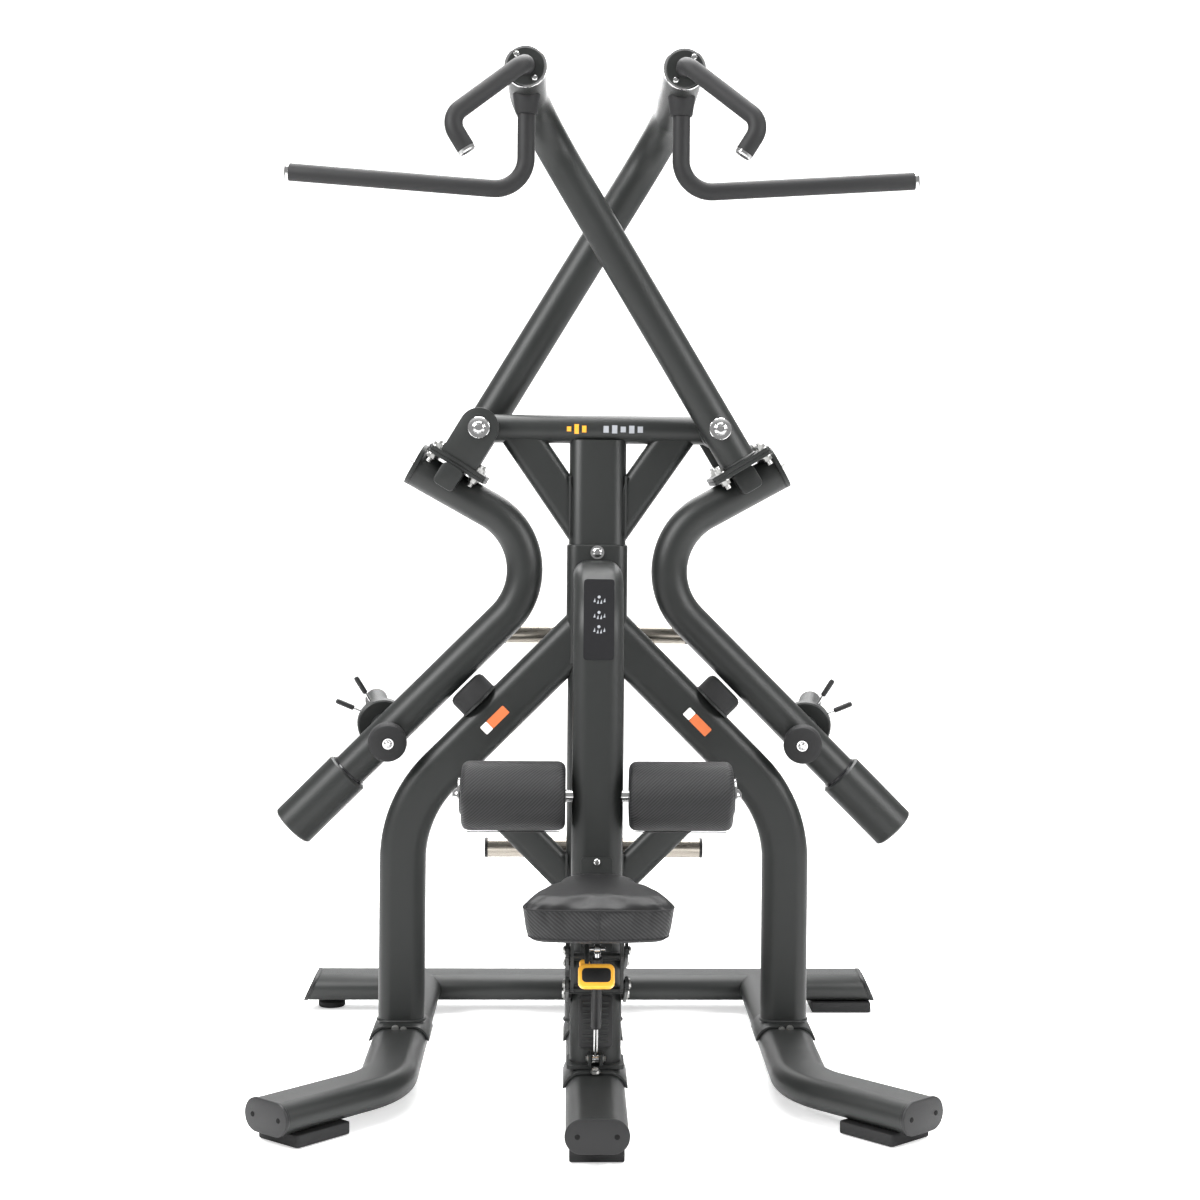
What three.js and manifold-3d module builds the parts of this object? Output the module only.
// Plate-loaded lat pulldown machine with two crossing levers.
// Millimetres. +X is the right-hand side seen from the front, the front faces -Y, +Z is up,
// and the origin is the centre of the footprint on the floor.
import * as THREE from "three";
import { mergeVertices } from "three/addons/utils/BufferGeometryUtils.js";
import Module from "manifold-3d";

const wasm = await Module();
wasm.setup();

// ---- Driving dimensions -------------------------------------------------------------------

const GAP = 0.3; // clearance between pieces that touch
const DEPTH_CENTRE = 10; // moves the middle of the footprint onto the origin

const FRAME_Y = 100; // plane of the column, crossbar, side frames and weight arms

const FOOT_HEIGHT = 24;
const BEAM = { width: 114, height: 60 }; // flat-oval floor tubes
const BEAM_Z = FOOT_HEIGHT + BEAM.height / 2;
const BEAM_TOP = FOOT_HEIGHT + BEAM.height;
const BEAM_FRONT_Y = -632;
const END_CAP = { thickness: 9, lip: 1.8 };
const REAR_BAR = { y: 600, depth: 120, bottomHalf: 664, topHalf: 637, cap: 10 };

const RAIL_X = 404;
const RAIL_TOE_OUT = THREE.MathUtils.degToRad(42);
const RAIL_TOE_Y = -287;
const RAIL_TOE_LENGTH = 293;
const RAIL_BEND = 190;
const SADDLE = { thickness: 6, length: 130, dropBelowTop: 24 };

const UPRIGHT = { width: 98, depth: 60, bend: 260 };
const DIAGONAL_SUM = 940; // the diagonal's centreline is x + z = this
const COLUMN = { width: 120, depth: 60 };
const SLEEVE = { width: 128, depth: 70, bottom: 843, top: 1095 };

const CROSSBAR_RADIUS = 30;
const PIVOT_X = 250;
const PIVOT_Z = 1338;
const HOUSING = { radius: 38, length: 92 };
const SHAFT_RADIUS = 15;

const TOP_BRACE = { width: 80, depth: 40, outer: [168, 1330], inner: [30, 1130] };
const LOWER_BRACE = { width: 70, depth: 40, inner: [30, 363], outer: [303, 636] };

const POST = { width: 100, depth: 60, bend: 130 };
const POST_FOOT = { y: -272, z: 98 };
const POST_HEAD = { y: -213, z: 1032 };
const POST_SADDLE = { y: -262, length: 146 };

const PEG = { radius: 21, y: 220, upperZ: 898, upperHalf: 201, lowerZ: 434, lowerHalf: 236 };

const BUMPER = { radius: 43.5, along: -516, base: 5 };

const TUBE_RADIUS = 38; // lever and weight arm tube
const TUBE_WALL = 4;
const LEVER_LEAN = THREE.MathUtils.degToRad(31);
const LEVER_LENGTH = 776.5; // pivot to the elbow's corner
const LEVER_OFFSET = 95; // tube plane to frame plane
const ELBOW_BEND = 150;
const HUB_FACE_Y = -420;
const HUB_PLATE = { radius: 36, thickness: 6 };
const CHEEK = { offset: 56, thickness: 12, halfWidth: 42 };
const FLANGE = { halfWidth: 68, thickness: 8, joint: -88.6, overhang: 6 };

const ARM_CORNER = { x: -300, z: -129.6 }; // corner of the inner bend, from the pivot
const ARM_START = { x: 70, z: -142 };
const ARM_BEND = 145;
const ARM_END = { radius: 46, thickness: 9, lift: 8 };
const ARM_BRACKET = { halfWidth: 24, drop: 48, halfLength: 86, round: 10 };
const LOWER_RUN_ANGLE = THREE.MathUtils.degToRad(45) - LEVER_LEAN;
const HORN_AT = 542; // from the corner down the lower run
const ARM_LENGTH = 651;

const HORN = { radius: 25, tilt: THREE.MathUtils.degToRad(12), front: -44, tip: 320 };
const HORN_FLANGE = { radius: 54, at: 104, thickness: 8 };
const HORN_CAP = { radius: 40, length: 31 };
const COLLAR = { at: 128, length: 22, radius: 32, wire: 3, legSpread: 0.3, legMiddle: -0.06, legReach: 108 };
const COUNTERWEIGHT = { radius: 48, length: 165, chamfer: 5 };

const GRIP_RADIUS = 17;
const WIDE_HANDLE = { y: -305, top: 1964, bottom: 1784, endX: 613, endZ: 1815, bend: 60 };
const SHORT_HANDLE = { y: -530, bendX: 289, bendZ: 1884, endX: 251, endZ: 1823, bend: 36 };
const TIP = { radius: 16, length: 18 };

const ROLLER = { radius: 70, bore: 13.2, inner: 61, outer: 267, y: -240, z: 608, round: 9 };
const ROLLER_DISC = { radius: 36, thickness: 6 };
const AXLE_RADIUS = 12.5;

const LINK = { length: 150, rise: THREE.MathUtils.degToRad(20), thickness: 6, half: 15, inner: 53 };
const LOWER_PIVOT = { y: -268, z: 225 };
const UPPER_PIVOT = { y: -262, z: 287 };
const PIN_RADIUS = 8;
const PIN_HALF = 63;
const CARRIAGE = { inner: 44, thickness: 6, top: 388 };
const SEAT = { bottom: 402, top: 463, front: -604, rear: -304, frontHalf: 141, rearHalf: 44 };
const BOARD_INSET = 12;
const SPRING_FOOT = { y: -318, z: 112 };
const SPRING_HEAD = { y: -425, z: 345 };
const SPRING = { bodyRadius: 10, bodyLength: 165, rodRadius: 4.5, bore: 5.2, boreDepth: 135, pin: 4 };
const LEVER_PIVOT = { x: -20, y: -446, z: 362 };
const PADDLE = { x: -2, y: -482, z: 306, width: 68, height: 48, thickness: 14, round: 12 };

// ---- Materials ----------------------------------------------------------------------------

const finish = (color, roughness, metalness) =>
  new THREE.MeshStandardMaterial({ color, roughness, metalness });

const powderCoat = finish(0x3a3b3b, 0.55, 0.3);
const chrome = finish(0xd6d6d6, 0.15, 1);
const nickelSteel = finish(0x9d9488, 0.3, 1);
const rubber = finish(0x1c1c1d, 0.8, 0);
const blackPlastic = finish(0x191919, 0.5, 0);
const vinyl = finish(0x2b2b2c, 0.6, 0);
const yellowPlastic = finish(0xeea21f, 0.4, 0);
const plywood = finish(0x242424, 0.7, 0);

// ---- Solids -------------------------------------------------------------------------------

/** A closed three.js geometry as a solid that can be joined and cut. */
function toSolid(geometry) {
  const bare = geometry.index ? geometry.toNonIndexed() : geometry.clone();
  bare.deleteAttribute("normal");
  bare.deleteAttribute("uv");
  const merged = mergeVertices(bare, 1e-4);
  const mesh = new wasm.Mesh({
    numProp: 3,
    vertProperties: merged.attributes.position.array,
    triVerts: new Uint32Array(merged.index.array),
  });
  return new wasm.Manifold(mesh);
}

/** A solid as a flat-shaded three.js geometry. */
function toGeometry(solid) {
  const mesh = solid.getMesh();
  const indexed = new THREE.BufferGeometry();
  indexed.setAttribute("position", new THREE.BufferAttribute(mesh.vertProperties, mesh.numProp));
  indexed.setIndex(new THREE.BufferAttribute(mesh.triVerts, 1));
  const geometry = indexed.toNonIndexed();
  geometry.computeVertexNormals();
  return geometry;
}

/** One geometry made of several that overlap. */
function join(...geometries) {
  return toGeometry(geometries.map(toSolid).reduce((sum, next) => sum.add(next)));
}

/** A geometry with several others taken away from it. */
function cut(geometry, ...tools) {
  return toGeometry(tools.map(toSolid).reduce((rest, tool) => rest.subtract(tool), toSolid(geometry)));
}

/** The part that two geometries share. */
function common(a, b) {
  return toGeometry(toSolid(a).intersect(toSolid(b)));
}

const at = (x, y, z) => new THREE.Vector3(x, y, z);

/** A path of straight pieces between given points, with a bisecting section at each point. */
class Polyline extends THREE.Curve {
  constructor(points) {
    super();
    this.points = points;
  }

  getUtoTmapping(u) {
    return u;
  }

  getPoint(t, target = new THREE.Vector3()) {
    const place = t * (this.points.length - 1);
    const index = Math.min(Math.floor(place + 1e-9), this.points.length - 2);
    return target.lerpVectors(this.points[index], this.points[index + 1], place - index);
  }

  getTangent(t, target = new THREE.Vector3()) {
    const index = Math.round(t * (this.points.length - 1));
    const heading = (i) => this.points[i + 1].clone().sub(this.points[i]).normalize();
    const before = heading(Math.max(index - 1, 0));
    const after = heading(Math.min(index, this.points.length - 2));
    return target.copy(before.add(after)).normalize();
  }
}

/** Points along straight runs between corners, with each inner corner rounded to a radius. */
function route(corners, radius, degreesPerStep = 18) {
  const points = [corners[0]];
  for (let i = 1; i < corners.length - 1; i++) {
    const back = corners[i - 1].clone().sub(corners[i]).normalize();
    const ahead = corners[i + 1].clone().sub(corners[i]).normalize();
    const half = back.angleTo(ahead) / 2;
    const centre = back.clone().add(ahead).normalize();
    centre.multiplyScalar(radius / Math.sin(half)).add(corners[i]);
    const spoke = corners[i].clone().addScaledVector(back, radius / Math.tan(half)).sub(centre);
    const axis = ahead.clone().cross(back).normalize();
    const turn = Math.PI - 2 * half;
    const steps = Math.ceil(THREE.MathUtils.radToDeg(turn) / degreesPerStep);
    for (let step = 0; step <= steps; step++) {
      const swung = spoke.clone().applyAxisAngle(axis, (turn * step) / steps);
      points.push(swung.add(centre));
    }
  }
  points.push(corners.at(-1));
  return points;
}

/** A circle. */
function circle(radius) {
  return new THREE.Shape().absarc(0, 0, radius, 0, Math.PI * 2, false);
}

/** A flat-oval section: `across` wide in its first direction and `along` in its second. */
function flatOval(across, along) {
  const shape = new THREE.Shape();
  const radius = Math.min(across, along) / 2;
  const run = Math.abs(across - along) / 2;
  const start = across > along ? -Math.PI / 2 : 0;
  const [dx, dy] = across > along ? [run, 0] : [0, run];
  shape.absarc(dx, dy, radius, start, start + Math.PI, false);
  shape.absarc(-dx, -dy, radius, start + Math.PI, start + 2 * Math.PI, false);
  return shape.closePath();
}

/** A rectangle with rounded corners, centred on a point. */
function roundedRectangle(width, height, radius, cx = 0, cy = 0) {
  const shape = new THREE.Shape();
  const x = width / 2 - radius;
  const y = height / 2 - radius;
  shape.absarc(cx + x, cy + y, radius, 0, Math.PI / 2, false);
  shape.absarc(cx - x, cy + y, radius, Math.PI / 2, Math.PI, false);
  shape.absarc(cx - x, cy - y, radius, Math.PI, Math.PI * 1.5, false);
  shape.absarc(cx + x, cy - y, radius, Math.PI * 1.5, Math.PI * 2, false);
  return shape.closePath();
}

/** A section carried along a path. On a plane path its second direction lies in that plane. */
function sweep(section, points, curveSegments = 4) {
  const extrudePath = new Polyline(points);
  return new THREE.ExtrudeGeometry(section, { steps: points.length - 1, extrudePath, curveSegments });
}

/** A round bar carried along a path. */
const bentBar = (radius, points, curveSegments = 6) => sweep(circle(radius), points, curveSegments);

/** An outline drawn in X and Z, thick from y0 to y1. */
function plateXZ(shape, y0, y1, curveSegments = 6) {
  const geometry = new THREE.ExtrudeGeometry(shape, { depth: y1 - y0, bevelEnabled: false, curveSegments });
  return geometry.applyMatrix4(new THREE.Matrix4().makeBasis(at(1, 0, 0), at(0, 0, 1), at(0, -1, 0)))
    .translate(0, y1, 0);
}

/** An outline drawn in Y and Z, thick from x0 to x1. */
function plateYZ(shape, x0, x1, curveSegments = 6) {
  const geometry = new THREE.ExtrudeGeometry(shape, { depth: x1 - x0, bevelEnabled: false, curveSegments });
  return geometry.applyMatrix4(new THREE.Matrix4().makeBasis(at(0, 1, 0), at(0, 0, 1), at(1, 0, 0)))
    .translate(x0, 0, 0);
}

/** An outline drawn in X and Y, thick from z0 to z1. */
function plateXY(shape, z0, z1, curveSegments = 6) {
  const depth = z1 - z0;
  return new THREE.ExtrudeGeometry(shape, { depth, bevelEnabled: false, curveSegments }).translate(0, 0, z0);
}

/** A box between two opposite corners. */
function block(low, high) {
  const size = high.clone().sub(low);
  const centre = high.clone().add(low).multiplyScalar(0.5);
  return new THREE.BoxGeometry(size.x, size.y, size.z).translate(centre.x, centre.y, centre.z);
}

/** A round bar from one point to another. */
function bar(radius, from, to, sides = 20) {
  const span = to.clone().sub(from);
  const centre = to.clone().add(from).multiplyScalar(0.5);
  const turn = new THREE.Quaternion().setFromUnitVectors(at(0, 1, 0), span.clone().normalize());
  return new THREE.CylinderGeometry(radius, radius, span.length(), sides)
    .applyQuaternion(turn)
    .translate(centre.x, centre.y, centre.z);
}

/** A body turned about the Y axis from [radius, y] pairs that start and end on the axis. */
function turned(profile, sides = 24) {
  return new THREE.LatheGeometry(profile.map(([r, y]) => new THREE.Vector2(r, y)), sides);
}

/** A named piece. */
function piece(name, geometry, material) {
  const mesh = new THREE.Mesh(geometry, material);
  mesh.name = name;
  return mesh;
}

// ---- Floor frame --------------------------------------------------------------------------

/** The flat-oval floor section along Y between two depths. */
const floorTube = (grow, y0, y1) =>
  plateXZ(flatOval(BEAM.width + grow, BEAM.height + grow), y0, y1, 4).translate(0, 0, BEAM_Z);

/** The rear crossbar's section along X, grown by a margin. */
function rearBarSolid(grow, half) {
  const section = plateYZ(flatOval(REAR_BAR.depth + grow, BEAM.height + grow), -half, half, 4);
  return section.translate(0, REAR_BAR.y, BEAM_Z);
}

/** A slanted end slab of the rear crossbar, between two distances from the end. */
function slantedSlice(start, end) {
  const shape = new THREE.Shape();
  const edge = (inset, z) => {
    const reach = z > 0 ? REAR_BAR.topHalf : REAR_BAR.bottomHalf;
    return reach - inset;
  };
  shape.moveTo(edge(start, -1), FOOT_HEIGHT);
  shape.lineTo(edge(end, -1), FOOT_HEIGHT);
  shape.lineTo(edge(end, 1), BEAM_TOP);
  shape.lineTo(edge(start, 1), BEAM_TOP);
  return plateXZ(shape.closePath(), REAR_BAR.y - 100, REAR_BAR.y + 100);
}

function rearCrossbar() {
  const inset = REAR_BAR.cap + GAP;
  const cutRight = slantedSlice(REAR_BAR.topHalf * 2 + 100, inset);
  return common(common(rearBarSolid(0, REAR_BAR.bottomHalf), cutRight), mirrored(cutRight));
}

/** A geometry reflected to the other side of X = 0. */
function mirrored(geometry) {
  const flipped = (geometry.index ? geometry.toNonIndexed() : geometry.clone()).scale(-1, 1, 1);
  const position = flipped.attributes.position;
  for (let i = 0; i < position.count; i += 3) {
    const [x, y, z] = [position.getX(i + 1), position.getY(i + 1), position.getZ(i + 1)];
    position.setXYZ(i + 1, position.getX(i + 2), position.getY(i + 2), position.getZ(i + 2));
    position.setXYZ(i + 2, x, y, z);
  }
  return flipped;
}

/** The rail's centreline on the right, from the rear crossbar out to its toe. */
function railCorners(extra = 0) {
  const toe = RAIL_TOE_LENGTH + extra;
  return [
    at(RAIL_X, REAR_BAR.y - 20, BEAM_Z),
    at(RAIL_X, RAIL_TOE_Y, BEAM_Z),
    at(RAIL_X + toe * Math.sin(RAIL_TOE_OUT), RAIL_TOE_Y - toe * Math.cos(RAIL_TOE_OUT), BEAM_Z),
  ];
}

function baseRail() {
  const whole = sweep(flatOval(BEAM.height, BEAM.width), route(railCorners(), RAIL_BEND), 4);
  return cut(whole, rearBarSolid(2 * GAP, REAR_BAR.bottomHalf));
}

/** The rail's toe cap, in the rail end's own frame with the end face at y = 0. */
function endCap(width, height) {
  const lip = 2 * END_CAP.lip;
  return plateXZ(flatOval(width + lip, height + lip), -END_CAP.thickness, -GAP, 5);
}

/** An arch of plate over a floor tube, which a standing tube is welded to. */
function saddle(y0, y1) {
  const shell = cut(floorTube(2 * SADDLE.thickness, y0, y1), floorTube(2 * GAP, y0 - 1, y1 + 1));
  const keep = BEAM_TOP - SADDLE.dropBelowTop;
  return common(shell, block(at(-200, y0 - 2, keep), at(200, y1 + 2, keep + 200)));
}

/** A rectangular rubber foot under a rail or beam. */
const footPad = (width, length) =>
  plateXY(roundedRectangle(width, length, 8), 0, FOOT_HEIGHT - GAP, 2);

// ---- Standing frame -----------------------------------------------------------------------

/** The column's flat-oval section between two heights, grown by a margin. */
const columnSolid = (grow, z0, z1) =>
  plateXY(flatOval(COLUMN.width + grow, COLUMN.depth + grow), z0, z1, 4).translate(0, FRAME_Y, 0);

/** The sleeve around the column, grown by a margin. */
const sleeveSolid = (grow) =>
  plateXY(roundedRectangle(SLEEVE.width + grow, SLEEVE.depth + grow, 24), SLEEVE.bottom - grow / 2,
    SLEEVE.top + grow / 2, 3).translate(0, FRAME_Y, 0);

/** The crossbar tube and its two pivot housings, grown by a margin. */
function crossbarSolid(grow) {
  const radius = CROSSBAR_RADIUS + grow;
  const tubeBody = bar(radius, at(-PIVOT_X, FRAME_Y, PIVOT_Z), at(PIVOT_X, FRAME_Y, PIVOT_Z), 18);
  const half = HOUSING.length / 2 + grow;
  const housings = [-1, 1].map((side) =>
    bar(HOUSING.radius + grow, at(side * PIVOT_X, FRAME_Y - half, PIVOT_Z),
      at(side * PIVOT_X, FRAME_Y + half, PIVOT_Z), 20));
  return join(tubeBody, ...housings);
}

function topCrossbar() {
  const bores = [-1, 1].map((side) =>
    bar(SHAFT_RADIUS + 0.5, at(side * PIVOT_X, FRAME_Y - 80, PIVOT_Z),
      at(side * PIVOT_X, FRAME_Y + 80, PIVOT_Z), 18));
  return cut(crossbarSolid(0), ...bores);
}

/** A block behind the column that a storage peg runs through. */
function pegLug(z) {
  const lug = block(at(-36, FRAME_Y + 20, z - 32), at(36, PEG.y + 30, z + 32));
  return cut(lug, bar(PEG.radius + 2 * GAP, at(-60, PEG.y, z), at(60, PEG.y, z), 16));
}

function rearColumn() {
  const foot = BEAM_TOP + GAP;
  const body = join(
    columnSolid(0, foot, PIVOT_Z),
    sleeveSolid(0),
    saddle(FRAME_Y - SADDLE.length / 2, FRAME_Y + SADDLE.length / 2),
    pegLug(PEG.upperZ),
    pegLug(PEG.lowerZ),
  );
  const above = block(at(-200, -100, PIVOT_Z - 2), at(200, 300, PIVOT_Z + 200));
  return cut(body, crossbarSolid(GAP), above);
}

/** The side frame's centreline on the right, from its saddle up to the sleeve. */
function sideFramePath() {
  const corner = at(RAIL_X, FRAME_Y, DIAGONAL_SUM - RAIL_X);
  const inner = at(14, FRAME_Y, DIAGONAL_SUM - 14);
  return route([at(RAIL_X, FRAME_Y, BEAM_TOP + GAP), corner, inner], UPRIGHT.bend);
}

/** The right side frame's tube, grown by a margin. */
const sideFrameSolid = (grow) =>
  sweep(flatOval(UPRIGHT.depth + grow, UPRIGHT.width + grow), sideFramePath(), 4);

function sideFrame() {
  const foot = saddle(FRAME_Y - SADDLE.length / 2, FRAME_Y + SADDLE.length / 2).translate(RAIL_X, 0, 0);
  return cut(join(sideFrameSolid(0), foot), sleeveSolid(2 * GAP), columnSolid(2 * GAP, 700, 1200));
}

function topBrace() {
  const { outer, inner, width, depth } = TOP_BRACE;
  const rise = at(outer[0] - inner[0], 0, outer[1] - inner[1]).normalize().multiplyScalar(60);
  const path = [at(outer[0], FRAME_Y, outer[1]).add(rise), at(inner[0], FRAME_Y, inner[1])];
  const above = block(at(-400, 0, PIVOT_Z), at(400, 200, PIVOT_Z + 200));
  const body = sweep(flatOval(depth, width), path, 3);
  return cut(body, crossbarSolid(GAP), columnSolid(2 * GAP, 1000, 1400), above);
}

function lowerBrace() {
  const { outer, inner, width, depth } = LOWER_BRACE;
  const path = [at(inner[0], FRAME_Y, inner[1]), at(outer[0], FRAME_Y, outer[1])];
  const body = sweep(flatOval(depth, width), path, 3);
  return cut(body, columnSolid(2 * GAP, 200, 600), sideFrameSolid(2 * GAP));
}

/** The stop's rubber block on the right diagonal, standing under the resting weight arm. */
function bumper() {
  const face = DIAGONAL_SUM + (UPRIGHT.width / 2 + GAP) * Math.SQRT2;
  const tip = armLineSum() - (TUBE_RADIUS + 0.5) * Math.SQRT2;
  const onAxis = (sum) => at((sum + BUMPER.along) / 2, FRAME_Y, (sum - BUMPER.along) / 2);
  const length = (tip - face) / Math.SQRT2;
  const { radius, base } = BUMPER;
  const body = turned([
    [0, 0], [radius + 2, 0], [radius + 2, base], [radius, base],
    [radius, length - 6], [radius - 6, length], [0, length],
  ], 18);
  const foot = onAxis(face);
  const lean = new THREE.Quaternion().setFromUnitVectors(at(0, 1, 0), onAxis(tip).sub(foot).normalize());
  return body.applyQuaternion(lean).translate(foot.x, foot.y, foot.z);
}

/** The lower run of the right weight arm lies on x + z = this. */
function armLineSum() {
  const corner = leverPoint(ARM_CORNER.x, 0, ARM_CORNER.z);
  return corner.x + corner.z;
}

/** A storage rod behind the column. */
const storagePeg = (half, z) => bar(PEG.radius, at(-half, PEG.y, z), at(half, PEG.y, z), 18);

function frontPost() {
  const path = route(
    [at(0, POST_FOOT.y, POST_FOOT.z), at(0, POST_HEAD.y, POST_HEAD.z), at(0, FRAME_Y, POST_HEAD.z)],
    POST.bend);
  const plate = block(
    at(-56, POST_FOOT.y - 46, BEAM_TOP + SADDLE.thickness - 1),
    at(56, POST_FOOT.y + 46, POST_FOOT.z + 2),
  );
  const half = POST_SADDLE.length / 2;
  const foot = saddle(POST_SADDLE.y - half, POST_SADDLE.y + half);
  const pins = [LOWER_PIVOT, UPPER_PIVOT].map(({ y, z }) =>
    bar(PIN_RADIUS, at(-PIN_HALF, y, z), at(PIN_HALF, y, z), 12));
  const clevis = [-1, 1].map((side) =>
    block(
      at(side * 11 - 3, SPRING_FOOT.y - 12, SPRING_FOOT.z - 12),
      at(side * 11 + 3, POST_FOOT.y, SPRING_FOOT.z + 10),
    ));
  const body = join(sweep(flatOval(POST.width, POST.depth), path, 4), plate, foot, ...pins, ...clevis);
  const axleBore = bar(AXLE_RADIUS + 2 * GAP, at(-80, ROLLER.y, ROLLER.z), at(80, ROLLER.y, ROLLER.z), 16);
  return cut(body, sleeveSolid(2 * GAP), axleBore);
}

// ---- Rollers ------------------------------------------------------------------------------

/** The right roller's padded sleeve, with a bore for the axle. */
function roller() {
  const { radius, bore, inner, outer, round } = ROLLER;
  const body = turned([
    [0, inner], [radius - round, inner], [radius, inner + round], [radius, outer - round],
    [radius - round, outer], [0, outer],
  ], 24).rotateZ(-Math.PI / 2);
  return cut(body, bar(bore, at(0, 0, 0), at(400, 0, 0), 16)).translate(0, ROLLER.y, ROLLER.z);
}

/** The plated disc at the right roller's outer end. */
function rollerDisc() {
  const { radius, thickness } = ROLLER_DISC;
  const start = ROLLER.outer + GAP;
  const body = bar(radius, at(start, 0, 0), at(start + thickness, 0, 0), 24);
  return cut(body, bar(ROLLER.bore, at(0, 0, 0), at(400, 0, 0), 24)).translate(0, ROLLER.y, ROLLER.z);
}

function rollerAxle() {
  const half = ROLLER.outer + ROLLER_DISC.thickness + 4;
  return bar(AXLE_RADIUS, at(-half, ROLLER.y, ROLLER.z), at(half, ROLLER.y, ROLLER.z), 14);
}

// ---- Seat ---------------------------------------------------------------------------------

/** The seat's outline in X and Y, drawn in by an inset: wide in front, narrow behind. */
function seatOutline(inset) {
  const front = SEAT.front + inset;
  const rear = SEAT.rear - inset;
  const wide = SEAT.frontHalf - inset;
  const narrow = SEAT.rearHalf - inset;
  const shape = new THREE.Shape();
  shape.moveTo(0, front - 2);
  shape.quadraticCurveTo(wide * 0.55, front - 2, wide * 0.78, front + 8);
  shape.quadraticCurveTo(wide, front + 18, wide, front + 52);
  shape.quadraticCurveTo(wide - 4, front + 110, narrow + 34, rear - 66);
  shape.quadraticCurveTo(narrow + 4, rear, 0, rear);
  shape.quadraticCurveTo(-narrow - 4, rear, -narrow - 34, rear - 66);
  shape.quadraticCurveTo(-wide + 4, front + 110, -wide, front + 52);
  shape.quadraticCurveTo(-wide, front + 18, -wide * 0.78, front + 8);
  shape.quadraticCurveTo(-wide * 0.55, front - 2, 0, front - 2);
  return shape;
}

/** A pair of seat link plates with a cross tube, from the post's pin to the carriage's pin. */
function seatLink(pivot, crossAt, pinClearance) {
  const end = linkEnd(pivot);
  const angle = Math.atan2(end.z - pivot.z, end.y - pivot.y);
  const shape = new THREE.Shape();
  shape.absarc(pivot.y, pivot.z, LINK.half, angle + Math.PI / 2, angle + Math.PI * 1.5, false);
  shape.absarc(end.y, end.z, LINK.half, angle - Math.PI / 2, angle + Math.PI / 2, false);
  shape.closePath();
  const plates = [-1, 1].map((side) => {
    const outer = LINK.inner + LINK.thickness;
    const [x0, x1] = side > 0 ? [LINK.inner, outer] : [-outer, -LINK.inner];
    return plateYZ(shape, x0, x1, 3);
  });
  const y = THREE.MathUtils.lerp(pivot.y, end.y, crossAt);
  const z = THREE.MathUtils.lerp(pivot.z, end.z, crossAt);
  const cross = bar(8, at(-LINK.inner - 1, y, z), at(LINK.inner + 1, y, z), 10);
  const holes = [pivot, end].map((pin) =>
    bar(PIN_RADIUS + pinClearance, at(-100, pin.y, pin.z), at(100, pin.y, pin.z), 14));
  return cut(join(...plates, cross), ...holes);
}

/** Where a link that starts on a post pin ends at the carriage. */
function linkEnd(pivot) {
  return {
    y: pivot.y - LINK.length * Math.cos(LINK.rise),
    z: pivot.z + LINK.length * Math.sin(LINK.rise),
  };
}

function seatCarriage() {
  const low = linkEnd(LOWER_PIVOT);
  const high = linkEnd(UPPER_PIVOT);
  const shape = new THREE.Shape();
  shape.absarc(low.y, low.z, 15, Math.PI, Math.PI * 2, false);
  shape.lineTo(high.y + 18, high.z);
  shape.lineTo(-350, CARRIAGE.top);
  shape.lineTo(-500, CARRIAGE.top);
  shape.lineTo(-468, CARRIAGE.top - 22);
  shape.lineTo(high.y - 30, high.z - 6);
  shape.closePath();
  const outer = CARRIAGE.inner + CARRIAGE.thickness;
  const spans = [[CARRIAGE.inner, outer], [-outer, -CARRIAGE.inner]];
  const plates = spans.map(([x0, x1]) => plateYZ(shape, x0, x1, 3));
  const top = block(at(-outer, -520, CARRIAGE.top - 6), at(outer, -345, CARRIAGE.top));
  const stubs = [low, high].flatMap(({ y, z }) =>
    [-1, 1].map((side) =>
      bar(PIN_RADIUS, at(side * (CARRIAGE.inner + 1), y, z), at(side * PIN_HALF, y, z), 12)));
  return join(...plates, top, ...stubs);
}

/** The gas spring's own frame: its foot, its lean from +Y, and its length. */
function springFrame() {
  const foot = at(0, SPRING_FOOT.y, SPRING_FOOT.z);
  const head = at(0, SPRING_HEAD.y, SPRING_HEAD.z);
  const lean = new THREE.Quaternion().setFromUnitVectors(at(0, 1, 0), head.clone().sub(foot).normalize());
  return { foot, lean, length: head.distanceTo(foot) };
}

function gasSpringBody() {
  const { length } = springFrame();
  const { bodyRadius, bodyLength, bore, boreDepth } = SPRING;
  const low = length - 16 - bodyLength;
  const cylinder = turned([
    [0, low], [bodyRadius - 1.5, low], [bodyRadius, low + 1.5], [bodyRadius, low + bodyLength - 3],
    [bodyRadius - 3, low + bodyLength], [6, low + bodyLength], [6, length - 6], [0, length - 6],
  ], 14);
  const eye = bar(9, at(-6, length, 0), at(6, length, 0), 12);
  const pin = bar(SPRING.pin, at(-16, length, 0), at(16, length, 0), 12);
  return cut(join(cylinder, eye, pin), bar(bore, at(0, low - 5, 0), at(0, low + boreDepth, 0), 12));
}

function gasSpringRod() {
  const { length } = springFrame();
  const low = length - 16 - SPRING.bodyLength;
  const rod = bar(SPRING.rodRadius, at(0, 6, 0), at(0, low + 50, 0), 12);
  const eye = bar(9, at(-7, 0, 0), at(7, 0, 0), 12);
  return join(rod, eye);
}

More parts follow.
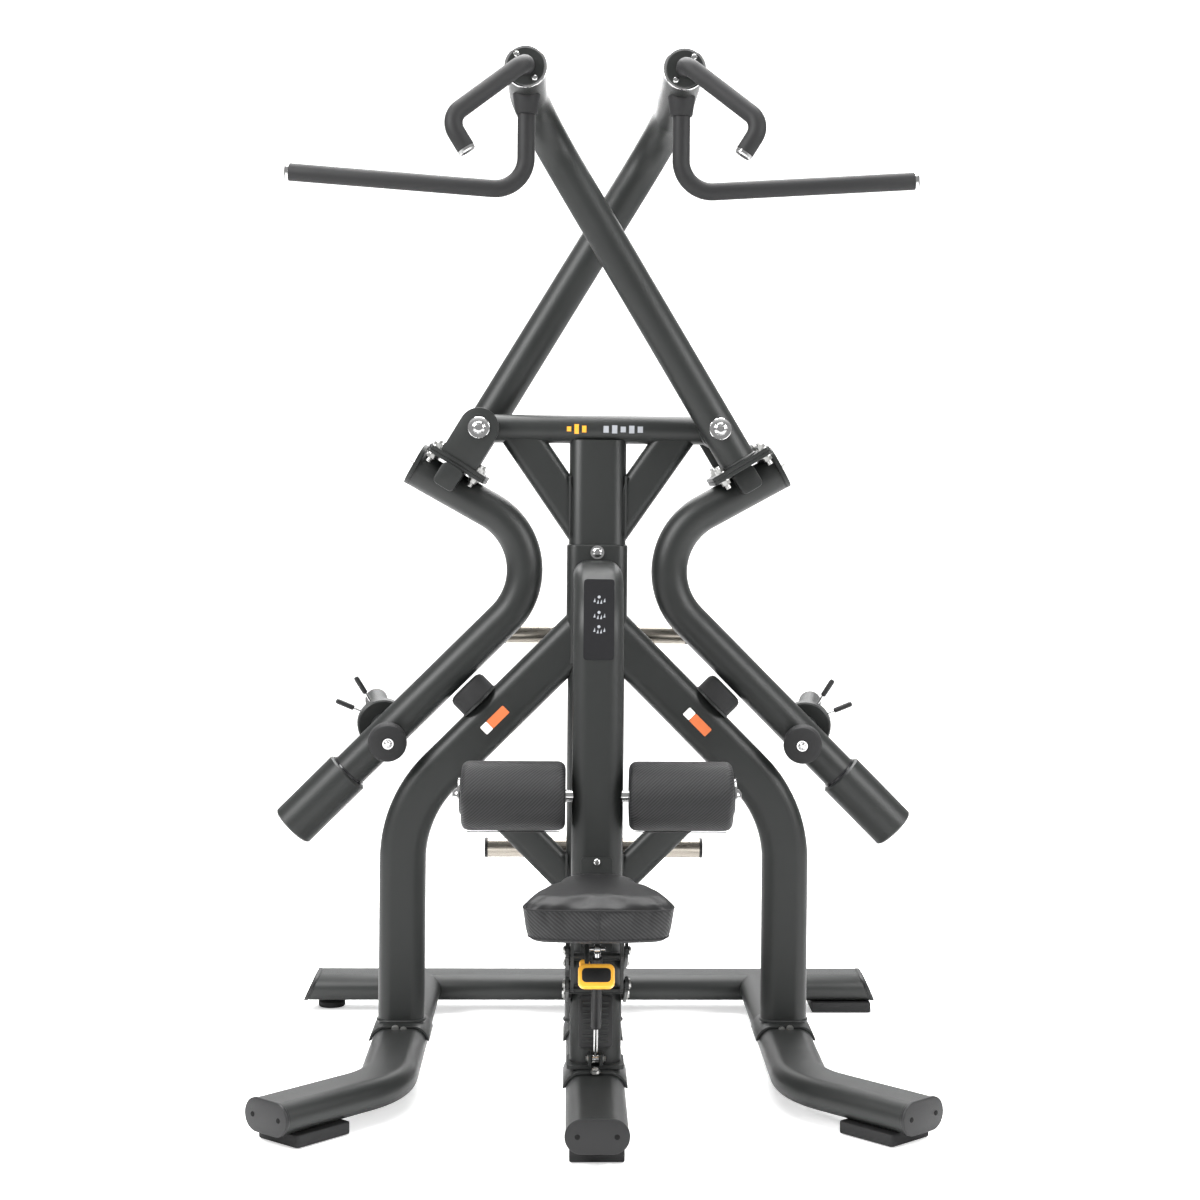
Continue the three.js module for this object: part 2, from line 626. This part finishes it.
/** The seat's release lever: an arm down from the carriage and a rounded paddle. */
function releaseLever() {
  const { x, y, z, width, height, thickness, round } = PADDLE;
  const outline = roundedRectangle(width, height, round, x, z);
  const paddle = plateXZ(outline, y - thickness / 2, y + thickness / 2, 3);
  const arm = bentBar(5, route(
    [at(LEVER_PIVOT.x, LEVER_PIVOT.y, LEVER_PIVOT.z), at(LEVER_PIVOT.x, y, z + 30), at(LEVER_PIVOT.x, y, z)],
    14, 20), 5);
  const hubStart = at(LEVER_PIVOT.x - 8, LEVER_PIVOT.y, LEVER_PIVOT.z);
  const hubEnd = at(LEVER_PIVOT.x + 8, LEVER_PIVOT.y, LEVER_PIVOT.z);
  const hub = bar(7, hubStart, hubEnd, 14);
  return join(paddle, arm, hub);
}

function seatGroup() {
  const group = new THREE.Group();
  const cushion = plateXY(seatOutline(0), SEAT.bottom + 2, SEAT.top, 4);
  const board = plateXY(seatOutline(BOARD_INSET), CARRIAGE.top + GAP, SEAT.bottom, 5);
  const spring = springFrame();
  const springParts = new THREE.Group();
  springParts.position.copy(spring.foot);
  springParts.quaternion.copy(spring.lean);
  springParts.add(
    piece("gas_spring_body", gasSpringBody(), blackPlastic),
    piece("gas_spring_rod", gasSpringRod(), chrome),
  );
  group.add(
    piece("seat_lower_link", seatLink(LOWER_PIVOT, 0.45, 0.5), powderCoat),
    piece("seat_upper_link", seatLink(UPPER_PIVOT, 0.5, 0.5), powderCoat),
    piece("seat_carriage", seatCarriage(), powderCoat),
    piece("seat_board", board, plywood),
    piece("seat_cushion", cushion, vinyl),
    piece("release_lever", releaseLever(), yellowPlastic),
    springParts,
  );
  return group;
}

// ---- Levers -------------------------------------------------------------------------------

/** A point of the lever's frame, in the right-hand lever's place. */
function leverPoint(x, y, z) {
  return at(x, y, z).applyAxisAngle(at(0, 1, 0), -LEVER_LEAN).add(at(PIVOT_X, FRAME_Y, PIVOT_Z));
}

/** The frame of the weight horn inside the lever's frame: origin on the arm, +Y along the horn. */
function hornFrame() {
  const run = new THREE.Matrix4().makeTranslation(ARM_CORNER.x, 0, ARM_CORNER.z);
  run.multiply(new THREE.Matrix4().makeRotationY(-LOWER_RUN_ANGLE));
  run.multiply(new THREE.Matrix4().makeTranslation(0, 0, -HORN_AT));
  return run.multiply(new THREE.Matrix4().makeRotationZ(-HORN.tilt));
}

/** The lever tube: from its flange past the pivot to the elbow and forward to the hub. */
function leverTube(tubeY) {
  const reach = HUB_FACE_Y + HUB_PLATE.thickness + GAP - FRAME_Y;
  const path = route(
    [
      at(0, tubeY, FLANGE.joint + FLANGE.thickness + 2 * GAP),
      at(0, tubeY, LEVER_LENGTH),
      at(0, reach, LEVER_LENGTH),
    ],
    ELBOW_BEND);
  const bore = bar(SHAFT_RADIUS + GAP, at(0, tubeY - 60, 0), at(0, tubeY + 60, 0), 18);
  return cut(bentBar(TUBE_RADIUS, path), bore, bentBar(TUBE_RADIUS - TUBE_WALL, path, 4));
}

/** The cheek plate on the crossbar's other side, with the flange under it and the tube. */
function leverFork(tubeY, cheekY) {
  const half = CHEEK.thickness / 2;
  const bottom = FLANGE.joint + GAP;
  const shape = new THREE.Shape();
  shape.moveTo(-CHEEK.halfWidth, bottom + 1);
  shape.lineTo(CHEEK.halfWidth, bottom + 1);
  shape.lineTo(CHEEK.halfWidth, 0);
  shape.absarc(0, 0, CHEEK.halfWidth, 0, Math.PI, false);
  shape.closePath();
  const cheek = plateXZ(shape, cheekY - half, cheekY + half, 8);
  const bore = bar(SHAFT_RADIUS + GAP, at(0, cheekY - 20, 0), at(0, cheekY + 20, 0), 18);
  return cut(join(cheek, flangePlate(tubeY, cheekY, bottom, bottom + FLANGE.thickness)), bore);
}

/** A flange plate that spans the lever's tube and cheek, between two heights. */
function flangePlate(tubeY, cheekY, z0, z1) {
  const tubeSide = tubeY + Math.sign(tubeY) * (TUBE_RADIUS + FLANGE.overhang);
  const cheekSide = cheekY + Math.sign(cheekY) * (CHEEK.thickness / 2 + FLANGE.overhang);
  const length = Math.abs(tubeSide - cheekSide);
  const outline = roundedRectangle(2 * FLANGE.halfWidth, length, 8, 0, (tubeSide + cheekSide) / 2);
  return plateXY(outline, z0, z1, 2);
}

/** The S-shaped weight arm with its flange, bracket and outer end plate. */
function weightArm(tubeY, cheekY) {
  const start = at(ARM_START.x, 0, ARM_START.z);
  const corner = at(ARM_CORNER.x, 0, ARM_CORNER.z);
  const lowerRun = at(Math.sin(LOWER_RUN_ANGLE), 0, -Math.cos(LOWER_RUN_ANGLE));
  const path = route([start, corner, corner.clone().addScaledVector(lowerRun, ARM_LENGTH)], ARM_BEND);
  const outward = start.clone().sub(corner).normalize();
  const plateCentre = start.clone().add(at(0, 0, ARM_END.lift));
  const endPlate = bar(
    ARM_END.radius,
    plateCentre.clone().addScaledVector(outward, -1),
    plateCentre.clone().addScaledVector(outward, ARM_END.thickness),
    18,
  );
  const { halfWidth, drop, halfLength, round } = ARM_BRACKET;
  const top = FLANGE.joint - FLANGE.thickness;
  const bracket = plateXZ(
    roundedRectangle(2 * halfWidth, drop + 2, round, 0, top - drop / 2 + 1), -halfLength, halfLength, 3);
  const flange = flangePlate(tubeY, cheekY, top, FLANGE.joint - GAP / 2);
  const bore = bar(HORN.radius + 2 * GAP, at(0, -80, 0), at(0, 80, 0), 16).applyMatrix4(hornFrame());
  const arm = join(bentBar(TUBE_RADIUS, path), endPlate, bracket, flange);
  return cut(arm, bore, bentBar(TUBE_RADIUS - TUBE_WALL, path, 4));
}

/** The pivot shaft with a low round head at each end. */
function pivotShaft(tubeY, cheekY) {
  const tubeFace = tubeY + Math.sign(tubeY) * (TUBE_RADIUS + GAP);
  const cheekFace = cheekY + Math.sign(cheekY) * (CHEEK.thickness / 2 + GAP);
  const head = (face) => bar(22, at(0, face, 0), at(0, face + Math.sign(face) * 5, 0), 20);
  const tubeEnd = at(0, tubeFace + Math.sign(tubeY), 0);
  const cheekEnd = at(0, cheekFace + Math.sign(cheekY), 0);
  const body = bar(SHAFT_RADIUS, tubeEnd, cheekEnd, 14);
  return join(body, head(tubeFace), head(cheekFace));
}

/** The weight horn with its stop flange, along +Y. */
function weightHorn() {
  const { radius, front, tip } = HORN;
  const { at: start, thickness, radius: flangeRadius } = HORN_FLANGE;
  return turned([
    [0, front], [radius, front], [radius, start], [flangeRadius, start], [flangeRadius, start + thickness],
    [radius, start + thickness], [radius, tip - 3], [radius - 3, tip], [0, tip],
  ], 18);
}

function hornCap() {
  const { radius, length } = HORN_CAP;
  const back = HORN.front - GAP;
  const face = back - length;
  return turned([
    [0, face], [radius - 5, face], [radius, face + 5], [radius, back - 1], [radius - 1, back], [0, back],
  ], 20);
}

/** The spring collar: a coil around the horn with two sprung legs and their grips. */
function springCollar() {
  const { at: start, length, radius, wire, legSpread, legMiddle, legReach } = COLLAR;
  const coil = cut(
    bar(radius, at(0, start, 0), at(0, start + length, 0), 16),
    bar(HORN.radius + 0.7, at(0, start - 5, 0), at(0, start + length + 5, 0), 16),
  );
  const legs = [-1, 1].map((side) => {
    const angle = legMiddle + side * legSpread;
    const along = start + (side > 0 ? length - wire - 1 : wire + 1);
    const onLeg = (reach) => at(reach * Math.cos(angle), along, reach * Math.sin(angle));
    return join(
      bar(wire, onLeg(radius - wire - 1), onLeg(legReach), 8),
      bar(wire + 2.6, onLeg(legReach - 42), onLeg(legReach), 10),
    );
  });
  return join(coil, ...legs);
}

/** The counterweight on the arm's lower end, hanging along -Z from its top face. */
function counterweight() {
  const { radius, length, chamfer } = COUNTERWEIGHT;
  return turned([
    [0, -length], [radius - chamfer, -length], [radius, chamfer - length],
    [radius, -chamfer], [radius - chamfer, 0], [0, 0],
  ], 20).rotateX(Math.PI / 2);
}

/** A grip with a smaller plug at the far end of its path. */
function gripAlong(corners, bend) {
  const last = corners.at(-1);
  const inward = corners.at(-2).clone().sub(last).normalize();
  const gripEnd = last.clone().addScaledVector(inward, TIP.length);
  const path = route([...corners.slice(0, -1), gripEnd], bend, 22);
  const plugStart = gripEnd.clone().addScaledVector(inward, 4);
  return join(bentBar(GRIP_RADIUS, path, 5), bar(TIP.radius, plugStart, last, 12));
}

/** The wide handle in the machine's frame on the left: down from the hub, then outward. */
function wideHandle() {
  const { y, top, bottom, endX, endZ, bend } = WIDE_HANDLE;
  const hub = hubCentre();
  const body = gripAlong([at(hub.x, y, top), at(hub.x, y, bottom), at(-endX, y, endZ)], bend);
  const clear = bar(TUBE_RADIUS + GAP, at(hub.x, HUB_FACE_Y - 20, hub.z), at(hub.x, 0, hub.z), 20);
  return cut(body, clear);
}

/** The short handle with its face plate, in the machine's frame on the left. */
function shortHandle() {
  const { y, bendX, bendZ, endX, endZ, bend } = SHORT_HANDLE;
  const hub = hubCentre();
  const face = HUB_FACE_Y;
  const plateBack = at(hub.x, face + HUB_PLATE.thickness, hub.z);
  const plate = bar(HUB_PLATE.radius, at(hub.x, face, hub.z), plateBack, 20);
  const grip = gripAlong([
    at(hub.x, face + 2, hub.z), at(hub.x, face - 42, hub.z), at(-bendX, y, bendZ), at(-endX, y, endZ),
  ], bend);
  return join(plate, grip);
}

/** The centre of the hub of the lever that pivots on the right. */
const hubCentre = () => leverPoint(0, 0, LEVER_LENGTH);

/**
 * One lever with everything that swings with it, built for the right-hand pivot.
 * `inFront` is 1 where its tube passes in front of the crossbar and -1 where it passes behind.
 */
function leverGroup(name, side, inFront) {
  const tubeY = -inFront * LEVER_OFFSET;
  const cheekY = inFront * CHEEK.offset;
  const lever = new THREE.Group();
  lever.position.set(PIVOT_X, FRAME_Y, PIVOT_Z);
  lever.rotation.y = -LEVER_LEAN;
  lever.add(
    piece(`${name}_lever_tube`, leverTube(tubeY), powderCoat),
    piece(`${name}_lever_fork`, leverFork(tubeY, cheekY), powderCoat),
    piece(`${name}_weight_arm`, weightArm(tubeY, cheekY), powderCoat),
    piece(`${name}_pivot_shaft`, pivotShaft(tubeY, cheekY), chrome),
  );
  const hornParts = new THREE.Group();
  hornParts.applyMatrix4(hornFrame());
  hornParts.add(
    piece(`${name}_weight_horn`, weightHorn(), powderCoat),
    piece(`${name}_horn_cap`, hornCap(), rubber),
    piece(`${name}_spring_collar`, springCollar(), chrome),
  );
  const armEnd = new THREE.Group();
  armEnd.position.set(ARM_CORNER.x, 0, ARM_CORNER.z);
  armEnd.rotation.y = -LOWER_RUN_ANGLE;
  const weight = piece(`${name}_counterweight`, counterweight(), powderCoat);
  weight.position.z = -ARM_LENGTH - GAP;
  armEnd.add(weight);
  lever.add(hornParts, armEnd);

  const half = new THREE.Group();
  half.scale.x = side;
  half.add(
    lever,
    piece(`${name}_handle_wide`, wideHandle(), rubber),
    piece(`${name}_handle_short`, shortHandle(), rubber),
  );
  return half;
}

// ---- The machine --------------------------------------------------------------------------

/** The pieces that exist once on each side, built for the right and mirrored for the left. */
function frameSide(side) {
  const label = side > 0 ? "right" : "left";
  const group = new THREE.Group();
  group.scale.x = side;

  const toe = railCorners()[2];
  const railCap = piece(`rail_cap_${label}`, endCap(BEAM.width, BEAM.height), blackPlastic);
  railCap.position.copy(toe);
  railCap.rotation.z = RAIL_TOE_OUT;

  const toePad = piece(`foot_front_${label}`, footPad(112, 132), rubber);
  toePad.position.copy(railCorners(-86)[2]).setZ(0);
  toePad.rotation.z = RAIL_TOE_OUT;

  const inset = REAR_BAR.cap;
  const rearCap = common(rearBarSolid(2, REAR_BAR.bottomHalf), slantedSlice(inset, 0));

  const rearFoot =
    side > 0
      ? plateXY(roundedRectangle(138, 112, 6, 584, REAR_BAR.y), 0, FOOT_HEIGHT - GAP, 2)
      : bar(31, at(604, REAR_BAR.y + 16, 0), at(604, REAR_BAR.y + 16, FOOT_HEIGHT - GAP), 24);

  group.add(
    piece(`base_rail_${label}`, baseRail(), powderCoat),
    railCap,
    toePad,
    piece(`rear_cap_${label}`, rearCap, blackPlastic),
    piece(`foot_rear_${label}`, rearFoot, rubber),
    piece(`side_frame_${label}`, sideFrame(), powderCoat),
    piece(`top_brace_${label}`, topBrace(), powderCoat),
    piece(`lower_brace_${label}`, lowerBrace(), powderCoat),
    piece(`bumper_${label}`, bumper(), rubber),
    piece(`roller_${label}`, roller(), vinyl),
    piece(`roller_disc_${label}`, rollerDisc(), chrome),
  );
  return group;
}

/** The pieces on the machine's centre line. */
function frameCentre() {
  const group = new THREE.Group();
  const beam = cut(floorTube(0, BEAM_FRONT_Y, REAR_BAR.y - 20), rearBarSolid(2 * GAP, 300));
  const beamCap = piece("beam_cap_centre", endCap(BEAM.width, BEAM.height), blackPlastic);
  beamCap.position.set(0, BEAM_FRONT_Y, BEAM_Z);
  const pad = piece("foot_centre", footPad(100, 120), rubber);
  pad.position.y = BEAM_FRONT_Y + 80;
  group.add(
    piece("base_beam_centre", beam, powderCoat),
    beamCap,
    pad,
    piece("rear_crossbar", rearCrossbar(), powderCoat),
    piece("rear_column", rearColumn(), powderCoat),
    piece("top_crossbar", topCrossbar(), powderCoat),
    piece("front_post", frontPost(), powderCoat),
    piece("storage_peg_upper", storagePeg(PEG.upperHalf, PEG.upperZ), nickelSteel),
    piece("storage_peg_lower", storagePeg(PEG.lowerHalf, PEG.lowerZ), nickelSteel),
    piece("roller_axle", rollerAxle(), chrome),
  );
  return group;
}

const machine = new THREE.Group();
machine.add(
  frameCentre(),
  frameSide(1),
  frameSide(-1),
  seatGroup(),
  leverGroup("front", 1, 1),
  leverGroup("rear", -1, -1),
);
machine.position.y = -DEPTH_CENTRE;

export default machine;
